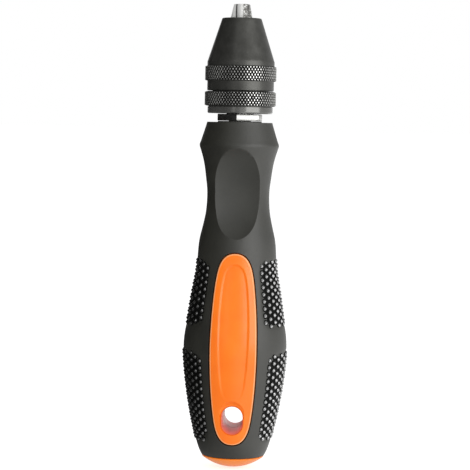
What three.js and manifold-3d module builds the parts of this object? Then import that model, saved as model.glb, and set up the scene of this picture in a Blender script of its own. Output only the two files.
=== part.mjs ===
// A hand drill for small twist drills: a moulded screwdriver handle that carries a keyless chuck.
// Millimetres, +Z along the tool's axis to the jaws, front to -Y, origin at the tip of the domed butt.
import * as THREE from 'three';
import { mergeVertices } from 'three/addons/utils/BufferGeometryUtils.js';
import Module from 'manifold-3d';

const wasm = await Module();
wasm.setup();

// Handle
const handleLength = 99.4;
const gripRadius = 14.85;
const rubberBottom = 3.6;
const rubberWall = 2.3;
const orangeTop = 64.4;
const orangeWall = 2.2;
const orangeFloor = 4.4;
const mouldGap = 0.15;
const coreNeckRadius = 4.3;
const rubberLip = 1.2;
const topRingOuter = 6.3;
const topRingInner = 5;
const topRingRise = 0.3;
const domeRimRadius = 8.9;
const domeRimEdge = 0.5;

// The outside of the grip from its rim to its top: share of the length, share of the largest radius.
const gripShares = [
  [0.0362, 0.613], [0.05, 0.66], [0.08, 0.727], [0.12, 0.789], [0.15, 0.833], [0.2, 0.895],
  [0.25, 0.944], [0.29, 0.975], [0.33, 0.997], [0.36, 1], [0.39, 0.982], [0.425, 0.94],
  [0.47, 0.894], [0.505, 0.857], [0.54, 0.815], [0.575, 0.777], [0.62, 0.759], [0.645, 0.747],
  [0.667, 0.726], [0.69, 0.69], [0.715, 0.652], [0.74, 0.621], [0.77, 0.604], [0.805, 0.604],
  [0.84, 0.631], [0.875, 0.664], [0.9, 0.702], [0.923, 0.749], [0.934, 0.768], [0.946, 0.742],
  [0.97, 0.691], [0.99, 0.648], [1, 0.63],
];

// Thumb scoops in the neck, front and back
const scoopHeight = 78.6;
const scoopFloor = 5.8;
const scoopRadius = 19.4;
const scoopWidthShare = 1.454;

// Orange pads that rise through windows in the rubber, front and back
const padBottom = 7.8;
const padTop = 62.3;
const padHalfWidth = 6.6;
const padWaistShare = 0.35;
const padEndPower = 12;
const padEndRootShare = 0.45;
const padProud = 0.35;
const windowGap = 0.35;
const fieldBottom = 20.4;
const fieldTop = 59.1;
const fieldMargin = 2.4;
const fieldFade = 10;
const fieldDepth = 0.5;

// Hanging hole through the handle
const holeHeight = 14.85;
const holeWidth = 6;
const holeTall = 7.9;
const holeDraft = 0.3;
const holeDishWidth = 0.9;
const holeDishDepth = 0.7;
const liningWall = 1.2;

// Nub panels on both sides of the grip
const nubPitch = 2;
const nubRise = 0.45;
const panelSink = 0.25;
const panelEndPower = 4;
const panels = [
  { bottom: 8.2, top: 32.8, halfSpan: 57 },
  { bottom: 40, top: 60, halfSpan: 57 },
];

// Spindle
const shankRadius = 3.2;
const shankBottom = 44.8;
const wingBottom = 46;
const wingHeight = 12;
const wingSpan = 10.4;
const wingThickness = 2.4;
const hexAcrossFlats = 12;
const hexHeight = 1.95;
const hexSeatGap = 0.1;
const hexChamfer = 0.35;
const hexTurn = -5.5;
const studRadius = 3.9;
const studLength = 8.6;
const studGap = 0.15;
const studChamfer = 0.6;

// Chuck, from its rear face up
const rearFaceGap = 0.15;
const lipHeight = 2.1;
const rearKnurlHeight = 4.2;
const runningGap = 0.2;
const skirtHeight = 2.7;
const frontKnurlHeight = 4.4;
const coneLead = 1.1;
const coneHeight = 12.5;
const knurlRise = 0.66;
const knurlDepth = 0.32;
const knurlChamfer = 0.35;
const knurlRows = 5;
const lipInset = 0.2;
const lipChamfer = 0.4;
const coneLeadRise = 0.08;
const noseChamfer = 0.35;
const bandWall = 0.6;

// Jaws, at their closed place
const jawCount = 3;
const firstJawAzimuth = -80;
const jawAngle = 14;
const jawRadius = 1.6;
const jawReach = 4;
const jawTipOffset = 0.76;
const jawParting = 0.1;
const jawSlideGap = 0.1;
const jawTailLift = 0.55;

// Thread between the nut and the jaws
const threadPitch = 1.25;
const openTurns = 5;
const threadDepth = 0.4;
const threadRootHalf = 0.35;
const threadCrestHalf = 0.175;
const threadPlay = 0.15;
const threadFloorGap = 0.2;
const nutBoreGap = 0.16;

// Nut, washer and body
const nutHeight = 4.4;
const nutWall = 0.95;
const nutSplit = 0.2;
const fitGap = 0.15;
const thrustRise = 1;
const washerThickness = 0.55;
const washerWidth = 0.7;
const registerHeight = 0.6;
const collarThickness = 1.2;
const collarRadius = 8.4;
const bodyRadius = 8;
const seatRadius = 7.6;
const seatHeight = 4.1;
const bodyConeWall = 0.45;
const sleeveGap = 0.25;
const noseWall = 1.6;
const noseRecess = 0.5;
const bitBoreGap = 0.15;
const boreRunout = 0.35;

// Fineness of the round faces, and how far a cutter runs past what it cuts
const gripSides = 48;
const innerSides = 24;
const roundSides = 36;
const knurlSides = 60;
const threadSides = 24;
const rodSides = 16;
const scoopSides = 48;
const domeRings = 5;
const outlineSteps = 22;
const wallStep = 10;
const overrun = 2;

const radians = THREE.MathUtils.degToRad;

// Closed solids

function solidOf(geometry) {
  const bare = geometry.index ? geometry.clone() : geometry;
  bare.deleteAttribute('normal');
  bare.deleteAttribute('uv');
  const merged = mergeVertices(bare);
  const places = merged.attributes.position.array;
  const faces = [];
  const corner = [new THREE.Vector3(), new THREE.Vector3(), new THREE.Vector3()];
  let volume = 0;
  for (let i = 0; i < merged.index.count; i += 3) {
    const face = [0, 1, 2].map((step) => merged.index.getX(i + step));
    if (new Set(face).size < face.length) continue;
    face.forEach((vertex, step) => corner[step].fromArray(places, 3 * vertex));
    volume += corner[0].dot(corner[1].clone().cross(corner[2]));
    faces.push(face);
  }
  if (volume < 0) faces.forEach((face) => face.reverse());
  const vertProperties = Float32Array.from(places);
  const triVerts = Uint32Array.from(faces.flat());
  return new wasm.Manifold(new wasm.Mesh({ numProp: 3, vertProperties, triVerts }));
}

// A solid turned about Z from [radius, height] points. A profile off the axis closes on itself.
function turned(profile, sides = roundSides) {
  const onAxis = profile[0][0] === 0 && profile.at(-1)[0] === 0;
  const points = (onAxis ? profile : [...profile, profile[0]]).map(([r, z]) => new THREE.Vector2(r, z));
  return solidOf(new THREE.LatheGeometry(points, sides).rotateX(Math.PI / 2));
}

// A solid skinned over rings of points. The rings close on each other, or have a flat lid at both ends.
function skinned(rings, closed) {
  const count = rings[0].length;
  const places = rings.flat();
  const faces = [];
  const last = closed ? rings.length : rings.length - 1;
  for (let i = 0; i < last; i++) {
    for (let j = 0; j < count; j++) {
      const low = i * count;
      const high = ((i + 1) % rings.length) * count;
      const side = (j + 1) % count;
      const [a, b, c, d] = [low + j, low + side, high + side, high + j];
      const radius = (vertex) => Math.hypot(places[vertex].x, places[vertex].y);
      const acrossIsLower = radius(b) + radius(d) < radius(a) + radius(c);
      faces.push(...(acrossIsLower ? [a, b, d, b, c, d] : [a, b, c, a, c, d]));
    }
  }
  if (!closed) {
    for (const [start, turn] of [[0, -1], [(rings.length - 1) * count, 1]]) {
      const middle = places.slice(start, start + count).reduce((sum, p) => sum.add(p), new THREE.Vector3());
      places.push(middle.divideScalar(count));
      for (let j = 0; j < count; j++) {
        const pair = [start + j, start + (j + 1) % count];
        if (turn < 0) pair.reverse();
        faces.push(...pair, places.length - 1);
      }
    }
  }
  const geometry = new THREE.BufferGeometry().setFromPoints(places);
  geometry.setIndex(faces);
  return solidOf(geometry);
}

// A prism through the whole handle, front to back, from an outline of [x, z] points.
function prismThrough(outline, reach) {
  const shape = new THREE.Shape(outline.map(([x, z]) => new THREE.Vector2(x, z)));
  const bar = new THREE.ExtrudeGeometry(shape, { depth: 2 * reach, bevelEnabled: false, steps: 1 });
  return solidOf(bar.rotateX(Math.PI / 2).translate(0, reach, 0));
}

function box(width, depth, height, x, y, z) {
  return solidOf(new THREE.BoxGeometry(width, depth, height).translate(x, y, z));
}

function ringPoint(radius, azimuth, z) {
  return new THREE.Vector3(radius * Math.cos(azimuth), radius * Math.sin(azimuth), z);
}

// Handle surfaces

function gripRadiusAt(z) {
  const knots = gripShares.map(([zShare, rShare]) => [zShare * handleLength, rShare * gripRadius]);
  const slope = (i) => {
    const before = knots[Math.max(i - 1, 0)];
    const after = knots[Math.min(i + 1, knots.length - 1)];
    return (after[1] - before[1]) / (after[0] - before[0]);
  };
  if (z <= knots[0][0]) return knots[0][1];
  if (z >= knots.at(-1)[0]) return knots.at(-1)[1];
  const i = knots.findIndex((knot, at) => z <= knots[at + 1][0]);
  const width = knots[i + 1][0] - knots[i][0];
  const t = (z - knots[i][0]) / width;
  const along = t * t * (3 - 2 * t);
  const lean = slope(i) * t * (1 - t) ** 2 - slope(i + 1) * t * t * (1 - t);
  return knots[i][1] * (1 - along) + knots[i + 1][1] * along + width * lean;
}

const orangeRadiusAt = (z) => gripRadiusAt(z) - rubberWall - mouldGap;
const coreRadiusAt = (z) => orangeRadiusAt(z) - orangeWall;

function heights(low, high, step) {
  const count = Math.max(1, Math.round((high - low) / step));
  return Array.from({ length: count + 1 }, (_, i) => low + (high - low) * i / count);
}

function padHalfWidthAt(t, inset) {
  const waist = 1 - padWaistShare * t * t;
  const ends = Math.max(0, 1 - Math.abs(t) ** padEndPower) ** padEndRootShare;
  return (padHalfWidth - inset) * waist * ends;
}

// The outline of a pad, drawn in by inset or, where that is negative, let out.
function padOutline(inset, bottom = padBottom, top = padTop) {
  const middle = (bottom + top) / 2;
  const half = (top - bottom) / 2 - inset;
  const steps = Array.from({ length: outlineSteps + 1 }, (_, i) => -Math.cos(Math.PI * i / outlineSteps));
  const right = steps.map((t) => [padHalfWidthAt(t, inset), middle + half * t]);
  const left = right.slice(1, -1).reverse().map(([x, z]) => [-x, z]);
  return [...right, ...left];
}

// A turned solid that follows the outside of the grip at an offset from it.
function gripOffset(low, high, offsetAt) {
  const outside = heights(low, high, wallStep / 2).map((z) => [gripRadiusAt(z) + offsetAt(z), z]);
  return turned([[0, low], ...outside, [0, high]], gripSides);
}

function obround(width, tall, y) {
  const points = [];
  const straight = (tall - width) / 2;
  for (let j = 0; j < innerSides; j++) {
    const angle = 2 * Math.PI * (j + 0.5) / innerSides;
    const lift = Math.sign(Math.sin(angle)) * straight;
    const z = holeHeight + width / 2 * Math.sin(angle) + lift;
    points.push(new THREE.Vector3(width / 2 * Math.cos(angle), y, z));
  }
  return points;
}

function hangingHole() {
  const face = gripRadiusAt(holeHeight) + padProud;
  const stations = [
    [-face - overrun, holeDishWidth * (1 + overrun / holeDishDepth)],
    [-face, holeDishWidth],
    [-face + holeDishDepth, 0],
    [0, -holeDraft],
    [face - holeDishDepth, 0],
    [face, holeDishWidth],
    [face + overrun, holeDishWidth * (1 + overrun / holeDishDepth)],
  ];
  const rings = stations.map(([y, spread]) => obround(holeWidth + 2 * spread, holeTall + 2 * spread, y));
  return skinned(rings, false);
}

// The tube of orange plastic that lines the hanging hole, let out by a gap for what goes round it.
function holeLining(gap) {
  const wall = liningWall + gap;
  const reach = gripRadius + overrun;
  const rings = [-reach, reach].map((y) => obround(holeWidth + 2 * wall, holeTall + 2 * wall, y));
  return skinned(rings, false);
}

// Handle pieces

function nubOffset(azimuth, z, row, column) {
  const aside = Math.asin(Math.abs(Math.sin(azimuth)));
  const inside = panels.some((panel) => {
    const u = aside / radians(panel.halfSpan);
    const v = (2 * z - panel.top - panel.bottom) / (panel.top - panel.bottom);
    return Math.abs(u) ** panelEndPower + Math.abs(v) ** panelEndPower < 1;
  });
  if (!inside) return 0;
  return (row + column) % 2 ? -panelSink : nubRise;
}

function gripRing(z, radiusAt) {
  return Array.from({ length: gripSides }, (_, column) => {
    const azimuth = 2 * Math.PI * column / gripSides - Math.PI / 2;
    return ringPoint(radiusAt(azimuth, column), azimuth, z);
  });
}

function gripLevels() {
  const inPanel = (z) => panels.some((panel) => z > panel.bottom && z < panel.top);
  const plain = gripShares.map(([zShare]) => zShare * handleLength).filter((z) => !inPanel(z));
  const rows = panels.flatMap((panel) => heights(panel.bottom, panel.top, nubPitch / 2));
  return [...plain, ...rows].sort((a, b) => a - b);
}

function gripOvermould() {
  const outer = gripLevels().map((z, row) =>
    gripRing(z, (azimuth, column) => gripRadiusAt(z) + nubOffset(azimuth, z, row, column)));
  const topRing = [handleLength, handleLength + topRingRise].map((z) => gripRing(z, () => topRingOuter));
  const inside = turned([
    [0, rubberBottom - overrun],
    [gripRadiusAt(rubberBottom) - rubberWall, rubberBottom - overrun],
    ...heights(rubberBottom, orangeTop + mouldGap, wallStep).map((z) => [gripRadiusAt(z) - rubberWall, z]),
    [coreNeckRadius + mouldGap, orangeTop + mouldGap],
    [coreNeckRadius + mouldGap, handleLength - rubberLip],
    [shankRadius + mouldGap, handleLength - rubberLip],
    [shankRadius + mouldGap, handleLength],
    [topRingInner, handleLength],
    [topRingInner, handleLength + overrun],
    [0, handleLength + overrun],
  ], innerSides);
  let grip = skinned([...outer, ...topRing], false).subtract(inside);
  grip = grip.subtract(prismThrough(padOutline(-windowGap), gripRadius + overrun));
  for (const side of [-1, 1]) {
    const ball = new THREE.SphereGeometry(scoopRadius, scoopSides, scoopSides / 2);
    ball.scale(scoopWidthShare, 1, 1);
    ball.translate(0, side * (scoopFloor + scoopRadius), scoopHeight);
    grip = grip.subtract(solidOf(ball));
  }
  return grip;
}

function domeProfile() {
  const height = rubberBottom - domeRimEdge;
  const radius = (domeRimRadius ** 2 + height ** 2) / (2 * height);
  const spread = Math.asin(domeRimRadius / radius);
  const steps = heights(0, spread, spread / domeRings);
  return steps.map((angle) => [radius * Math.sin(angle), radius * (1 - Math.cos(angle))]);
}

function orangeBody() {
  const seam = rubberBottom - mouldGap;
  const wallLevels = heights(seam, orangeTop, wallStep);
  const dome = turned([...domeProfile(), [domeRimRadius, seam], [0, seam]], gripSides);
  const wall = turned([
    [0, domeRimEdge], [orangeRadiusAt(seam), domeRimEdge],
    ...wallLevels.map((z) => [orangeRadiusAt(z), z]), [0, orangeTop],
  ], innerSides);
  const reach = gripRadius + overrun;
  const padFace = gripOffset(rubberBottom, orangeTop, () => padProud);
  const pads = prismThrough(padOutline(0), reach).intersect(padFace);
  const fade = (z) => Math.min(1, Math.max(0, (z - fieldBottom) / fieldFade));
  const fieldFloor = gripOffset(rubberBottom, orangeTop, (z) => padProud - fieldDepth * fade(z));
  const fieldOutline = padOutline(fieldMargin, fieldBottom - fieldMargin, fieldTop + fieldMargin);
  const field = prismThrough(fieldOutline, reach).subtract(fieldFloor);
  const hollow = heights(orangeFloor, orangeTop, wallStep).map((z) => [coreRadiusAt(z) + mouldGap, z]);
  const mouth = [coreRadiusAt(orangeTop) + mouldGap, orangeTop + overrun];
  const cavity = turned([[0, orangeFloor], ...hollow, mouth, [0, orangeTop + overrun]], innerSides);
  const space = cavity.subtract(holeLining(0));
  return dome.add(wall).add(pads).subtract(field).subtract(space).subtract(hangingHole());
}

function shankCutter(gap) {
  const height = handleLength + overrun - shankBottom;
  const rod = new THREE.CylinderGeometry(shankRadius + gap, shankRadius + gap, height + gap, innerSides);
  rod.rotateX(Math.PI / 2).translate(0, 0, shankBottom - gap + (height + gap) / 2);
  const wing = box(wingSpan + 2 * gap, wingThickness + 2 * gap, wingHeight + 2 * gap,
    0, 0, wingBottom + wingHeight / 2);
  return solidOf(rod).add(wing);
}

function handleCore() {
  const low = orangeFloor + mouldGap;
  const wide = heights(low, orangeTop - mouldGap, wallStep).map((z) => [coreRadiusAt(z), z]);
  const top = handleLength - rubberLip - mouldGap;
  const neck = [[coreNeckRadius, orangeTop - mouldGap], [coreNeckRadius, top], [0, top]];
  const solid = turned([[0, low], ...wide, ...neck], innerSides);
  return solid.subtract(shankCutter(mouldGap)).subtract(holeLining(mouldGap));
}

const hexBottom = handleLength + topRingRise + hexSeatGap;
const hexTop = hexBottom + hexHeight;
const rearFace = hexTop + rearFaceGap;

function spindle() {
  const hexCircle = hexAcrossFlats / Math.sqrt(3);
  const hexBar = new THREE.CylinderGeometry(hexCircle, hexCircle, hexHeight, 6).rotateY(radians(hexTurn));
  hexBar.rotateX(Math.PI / 2).translate(0, 0, hexBottom + hexHeight / 2);
  const flat = hexAcrossFlats / 2;
  const chamfer = turned([
    [0, hexBottom - overrun], [hexCircle, hexBottom - overrun], [hexCircle, hexTop - hexChamfer],
    [flat, hexTop], [0, hexTop],
  ]);
  const above = box(2 * hexCircle, 2 * hexCircle, 2 * overrun, 0, 0, hexTop + overrun);
  const shank = shankCutter(0).subtract(above);
  const stud = turned([
    [0, hexBottom], [studRadius, hexBottom], [studRadius, hexTop + studLength - studChamfer],
    [studRadius - studChamfer, hexTop + studLength], [0, hexTop + studLength],
  ], innerSides);
  return solidOf(hexBar).intersect(chamfer).add(shank).add(stud);
}

// Heights along the chuck
const lipTop = rearFace + lipHeight;
const rearTop = lipTop + rearKnurlHeight;
const skirtBottom = rearTop + runningGap;
const skirtTop = skirtBottom + skirtHeight;
const frontKnurlTop = skirtTop + frontKnurlHeight;
const coneBottom = frontKnurlTop + coneLead;
const noseFace = coneBottom + coneHeight;
const jawTip = noseFace + jawReach;
const thrustFace = skirtTop + thrustRise;
const washerBottom = thrustFace + fitGap;
const nutBottom = washerBottom + washerThickness + fitGap;
const nutTop = nutBottom + nutHeight;
const shoulder = nutTop + fitGap;
const bodyConeBottom = shoulder + fitGap;
const bodyFace = noseFace - noseRecess;
const jawTail = nutBottom + jawTailLift;

// The jaws run down a cone: the distance of their axis and of their outer side from the tool's axis.
const jawSlope = Math.tan(radians(jawAngle));
const jawAxisAt = (z) => jawTipOffset + (jawTip - z) * jawSlope;
const jawOuterAt = (z) => jawAxisAt(z) + jawRadius / Math.cos(radians(jawAngle));
const jawDrop = openTurns * threadPitch;
const openTail = jawTail - jawDrop - jawRadius * Math.sin(radians(jawAngle));
const boreEnd = openTail - boreRunout;
const nutBoreAt = (z) => jawOuterAt(z) + nutBoreGap;
const crestAt = (z) => jawOuterAt(z) - threadDepth;

// Radii of the chuck, built outwards from the jaws
const nutRadius = nutBoreAt(nutBottom) + nutWall;
const sleeveBore = nutRadius + fitGap;
const bandRadius = sleeveBore + sleeveGap + bandWall;
const knurlRadius = bandRadius + knurlRise;
const tailHollow = jawOuterAt(openTail + jawSlideGap) + jawSlideGap;
const bitBore = jawDrop * jawSlope + bitBoreGap;
const sleeveBoreAt = (z) => jawOuterAt(z) + bodyConeWall + sleeveGap;
const noseRadius = sleeveBoreAt(noseFace) + noseWall;

// Chuck pieces

// One jaw's round rod along its sloping axis, for the jaw turned to azimuth 0.
function jawRod(radius, low, high) {
  const lean = radians(jawAngle);
  const length = (high - low) / Math.cos(lean);
  const rod = new THREE.CylinderGeometry(radius, radius, length, rodSides);
  rod.rotateX(Math.PI / 2).translate(0, 0, length / 2).rotateY(-lean);
  return solidOf(rod.translate(jawAxisAt(low), 0, low));
}

function turnedTo(solid, azimuth) {
  return solid.rotate([0, 0, azimuth]);
}

// The height of the nut's thread at an azimuth in degrees: one ridge in each turn.
function threadHeight(azimuth) {
  return nutBottom + threadPitch * (azimuth - firstJawAzimuth) / 360;
}

function threadGroove(z) {
  const flank = (threadRootHalf - threadCrestHalf) / (threadDepth + nutBoreGap);
  const floorHalf = threadCrestHalf + threadPlay;
  const mouthHalf = floorHalf + flank * (threadDepth + threadFloorGap + overrun);
  const floorAt = (height) => jawOuterAt(height) - threadDepth - threadFloorGap;
  const outline = new THREE.Shape([
    new THREE.Vector2(floorAt(z - floorHalf), z - floorHalf),
    new THREE.Vector2(jawOuterAt(z) + overrun, z - mouthHalf),
    new THREE.Vector2(jawOuterAt(z) + overrun, z + mouthHalf),
    new THREE.Vector2(floorAt(z + floorHalf), z + floorHalf),
  ]);
  const bar = new THREE.ExtrudeGeometry(outline, { depth: 4 * jawRadius, bevelEnabled: false, steps: 1 });
  return solidOf(bar.rotateX(Math.PI / 2).translate(0, 2 * jawRadius, 0));
}

function jaw(index) {
  const azimuth = firstJawAzimuth + 360 * index / jawCount;
  const reach = jawTip - jawTail;
  let solid = jawRod(jawRadius, jawTail, jawTip + overrun);
  const below = box(2 * reach, 2 * reach, 2 * reach, 0, 0, jawTip - reach);
  const half = radians(180 / jawCount);
  const apex = jawParting / Math.sin(half);
  const wedge = new THREE.Shape([
    new THREE.Vector2(apex, 0),
    new THREE.Vector2(apex + reach, -reach * Math.tan(half)),
    new THREE.Vector2(apex + reach, reach * Math.tan(half)),
  ]);
  const column = new THREE.ExtrudeGeometry(wedge, { depth: 2 * reach, bevelEnabled: false, steps: 1 });
  solid = solid.intersect(below).intersect(solidOf(column.translate(0, 0, jawTail - overrun)));
  const last = nutTop + jawDrop + threadPitch / 2;
  for (let z = threadHeight(azimuth) - threadPitch; z < last; z += threadPitch) {
    solid = solid.subtract(threadGroove(z));
  }
  return turnedTo(solid, azimuth);
}

function chuckBody() {
  const seatTop = rearFace + seatHeight;
  const boreTop = hexTop + studLength + studRadius * jawSlope;
  const studBore = studRadius + studGap;
  let body = turned([
    [studBore, rearFace],
    [seatRadius, rearFace],
    [seatRadius, seatTop],
    [bodyRadius, seatTop],
    [bodyRadius, thrustFace - collarThickness],
    [collarRadius, thrustFace - collarThickness],
    [collarRadius, thrustFace],
    [collarRadius - washerWidth - fitGap, thrustFace],
    [collarRadius - washerWidth - fitGap, thrustFace + registerHeight],
    [crestAt(thrustFace + registerHeight) - fitGap, thrustFace + registerHeight],
    [crestAt(bodyConeBottom) - fitGap, bodyConeBottom],
    [jawOuterAt(bodyConeBottom) + bodyConeWall, bodyConeBottom],
    [jawOuterAt(bodyFace) + bodyConeWall, bodyFace],
    [bitBore, bodyFace],
    [bitBore, boreTop + studBore - bitBore],
    [studBore, boreTop],
  ]);
  const inradius = Math.cos(Math.PI / rodSides);
  const bore = jawRod(jawRadius + jawSlideGap / inradius, boreEnd, noseFace + overrun);
  for (let index = 0; index < jawCount; index++) {
    body = body.subtract(turnedTo(bore, firstJawAzimuth + 360 * index / jawCount));
  }
  return body;
}

function knurlRing(radiusAt, z) {
  return Array.from({ length: knurlSides }, (_, column) =>
    ringPoint(radiusAt(column), 2 * Math.PI * column / knurlSides, z));
}

function sleeveRing(radius, z) {
  return knurlRing(() => radius, z);
}

// A knurled band: crossed grooves leave rows of points between two plain edges.
function knurlRings(low, high) {
  const edge = knurlRadius - knurlDepth - knurlChamfer;
  const rows = heights(low + knurlChamfer, high - knurlChamfer, (high - low) / knurlRows);
  const points = rows.map((z, row) =>
    knurlRing((column) => knurlRadius - ((row + column) % 2) * knurlDepth, z));
  return [sleeveRing(edge, low), ...points, sleeveRing(edge, high)];
}

function rearSleeve() {
  const seatTop = rearFace + seatHeight;
  const bore = seatRadius + jawSlideGap;
  const lipRadius = bandRadius - lipInset;
  return skinned([
    sleeveRing(bore, rearFace),
    sleeveRing(lipRadius - lipChamfer, rearFace),
    sleeveRing(lipRadius, rearFace + lipChamfer),
    sleeveRing(lipRadius, lipTop),
    ...knurlRings(lipTop, rearTop),
    sleeveRing(tailHollow, rearTop),
    sleeveRing(tailHollow, seatTop),
    sleeveRing(bore, seatTop),
  ], true);
}

function noseSleeve() {
  const skirtBore = bandRadius - bandWall;
  return skinned([
    sleeveRing(skirtBore, skirtBottom),
    sleeveRing(bandRadius, skirtBottom),
    sleeveRing(bandRadius, skirtTop),
    ...knurlRings(skirtTop, frontKnurlTop),
    sleeveRing(bandRadius + coneLeadRise, frontKnurlTop),
    sleeveRing(bandRadius + coneLeadRise, coneBottom),
    sleeveRing(noseRadius, noseFace - noseChamfer),
    sleeveRing(noseRadius - noseChamfer, noseFace),
    sleeveRing(sleeveBoreAt(noseFace), noseFace),
    sleeveRing(sleeveBoreAt(shoulder), shoulder),
    sleeveRing(sleeveBore, shoulder),
    sleeveRing(sleeveBore, skirtTop),
    sleeveRing(skirtBore, skirtTop),
  ], true);
}

function thrustWasher() {
  const outer = collarRadius;
  const inner = collarRadius - washerWidth;
  const top = washerBottom + washerThickness;
  return turned([[inner, washerBottom], [outer, washerBottom], [outer, top], [inner, top]], threadSides);
}

function nutHalves() {
  const ring = turned([
    [nutBoreAt(nutBottom), nutBottom],
    [nutRadius, nutBottom],
    [nutRadius, nutTop],
    [nutBoreAt(nutTop), nutTop],
  ], threadSides);
  const turns = Math.ceil(nutHeight / threadPitch) + 2;
  const rings = [];
  for (let step = 0; step <= turns * threadSides; step++) {
    const azimuth = firstJawAzimuth + 360 * step / threadSides - 360;
    const z = threadHeight(azimuth);
    const root = nutBoreGap + nutWall / 2;
    rings.push([
      [jawOuterAt(z - threadRootHalf) + root, z - threadRootHalf - threadCrestHalf],
      [crestAt(z - threadCrestHalf), z - threadCrestHalf],
      [crestAt(z + threadCrestHalf), z + threadCrestHalf],
      [jawOuterAt(z + threadRootHalf) + root, z + threadRootHalf + threadCrestHalf],
    ].map(([radius, height]) => ringPoint(radius, radians(azimuth), height)));
  }
  const limits = turned([[0, nutBottom], [nutRadius, nutBottom], [nutRadius, nutTop], [0, nutTop]],
    threadSides);
  const nut = ring.add(skinned(rings, false).intersect(limits));
  const half = nutRadius + overrun;
  return [-1, 1].map((side) =>
    nut.intersect(box(half, 2 * half, 2 * half, side * (half + nutSplit) / 2, 0, nutBottom)));
}

// Materials
const rubber = new THREE.MeshStandardMaterial({ color: 0x3b3c38, roughness: 0.7, metalness: 0 });
const orangePlastic = new THREE.MeshStandardMaterial({ color: 0xf7731f, roughness: 0.4, metalness: 0 });
const palePlastic = new THREE.MeshStandardMaterial({ color: 0xe6dcd2, roughness: 0.45, metalness: 0 });
const blackSteel = new THREE.MeshStandardMaterial({ color: 0x2a2b27, roughness: 0.4, metalness: 0.8 });
const brightSteel = new THREE.MeshStandardMaterial({ color: 0xb9bab5, roughness: 0.25, metalness: 1 });

const tool = new THREE.Group();

function addPiece(name, solid, material) {
  const { vertProperties, triVerts } = solid.getMesh();
  const geometry = new THREE.BufferGeometry();
  geometry.setAttribute('position', new THREE.BufferAttribute(vertProperties, 3));
  geometry.setIndex(new THREE.BufferAttribute(triVerts, 1));
  geometry.computeVertexNormals();
  const mesh = new THREE.Mesh(geometry, material);
  mesh.name = name;
  tool.add(mesh);
}

addPiece('grip_overmould', gripOvermould(), rubber);
addPiece('orange_body', orangeBody(), orangePlastic);
addPiece('handle_core', handleCore(), palePlastic);
addPiece('spindle', spindle(), brightSteel.clone());
addPiece('chuck_body', chuckBody(), blackSteel);
addPiece('rear_sleeve', rearSleeve(), blackSteel.clone());
addPiece('thrust_washer', thrustWasher(), brightSteel.clone());
addPiece('nose_sleeve', noseSleeve(), blackSteel.clone());
nutHalves().forEach((half, index) => addPiece(`nut_half_${index + 1}`, half, blackSteel.clone()));
for (let index = 0; index < jawCount; index++) {
  addPiece(`jaw_${index + 1}`, jaw(index), brightSteel.clone());
}

export default tool;
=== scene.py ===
from math import asin, atan2, ceil, copysign, cos, hypot, pi, radians, sin, sqrt, tan

import bmesh
import bpy
from mathutils import Matrix, Vector


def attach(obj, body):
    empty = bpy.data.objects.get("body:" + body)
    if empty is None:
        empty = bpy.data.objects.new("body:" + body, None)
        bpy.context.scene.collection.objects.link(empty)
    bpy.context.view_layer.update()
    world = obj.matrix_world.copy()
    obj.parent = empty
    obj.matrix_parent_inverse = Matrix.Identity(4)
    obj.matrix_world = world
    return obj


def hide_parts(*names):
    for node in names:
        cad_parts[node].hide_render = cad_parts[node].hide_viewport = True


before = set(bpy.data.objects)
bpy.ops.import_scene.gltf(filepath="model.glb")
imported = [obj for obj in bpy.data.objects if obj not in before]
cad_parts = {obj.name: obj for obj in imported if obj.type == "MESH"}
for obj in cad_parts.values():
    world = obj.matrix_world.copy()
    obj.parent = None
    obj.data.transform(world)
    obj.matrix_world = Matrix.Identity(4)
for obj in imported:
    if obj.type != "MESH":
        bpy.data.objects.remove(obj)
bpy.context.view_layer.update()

MM = 0.001
FULL_TURN = 2 * pi

# Handle
HANDLE_LENGTH = 99.4 * MM
GRIP_RADIUS = 14.85 * MM
RUBBER_BOTTOM = 3.6 * MM
RUBBER_WALL = 2.3 * MM
ORANGE_TOP = 64.4 * MM
ORANGE_WALL = 2.2 * MM
ORANGE_FLOOR = 4.4 * MM
MOULD_GAP = 0.15 * MM
CORE_NECK_RADIUS = 4.3 * MM
RUBBER_LIP = 1.2 * MM
TOP_RING_OUTER = 6.3 * MM
TOP_RING_INNER = 5.0 * MM
TOP_RING_RISE = 0.3 * MM
DOME_RIM_RADIUS = 8.9 * MM
DOME_RIM_EDGE = 0.5 * MM
DOME_EDGE = 0.12 * MM

# The outside of the grip: share of the handle's length, share of the largest radius
GRIP_SHARES = [
    (0.0362, 0.613), (0.05, 0.66), (0.08, 0.727), (0.12, 0.789), (0.15, 0.833), (0.2, 0.895),
    (0.25, 0.944), (0.29, 0.975), (0.33, 0.997), (0.36, 1), (0.39, 0.982), (0.425, 0.94),
    (0.47, 0.894), (0.505, 0.857), (0.54, 0.815), (0.575, 0.777), (0.62, 0.759), (0.645, 0.747),
    (0.667, 0.726), (0.69, 0.69), (0.715, 0.652), (0.74, 0.621), (0.77, 0.604), (0.805, 0.604),
    (0.84, 0.631), (0.875, 0.664), (0.9, 0.702), (0.923, 0.749), (0.934, 0.768), (0.946, 0.742),
    (0.97, 0.691), (0.99, 0.648), (1, 0.63),
]

# Thumb scoops, front and back: wide balls, tapering downwards and fuller at the top
SCOOP_HEIGHT = 78.6 * MM
SCOOP_FLOOR = 5.8 * MM
SCOOP_RADIUS = 19.4 * MM
SCOOP_WIDTH_SHARE = 1.454
SCOOP_TAPER_SHARE = 0.6
SCOOP_TAPER_POWER = 1.3
SCOOP_FLARE_SHARE = 0.35
SCOOP_FOOT_SHARE = 0.95

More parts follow.
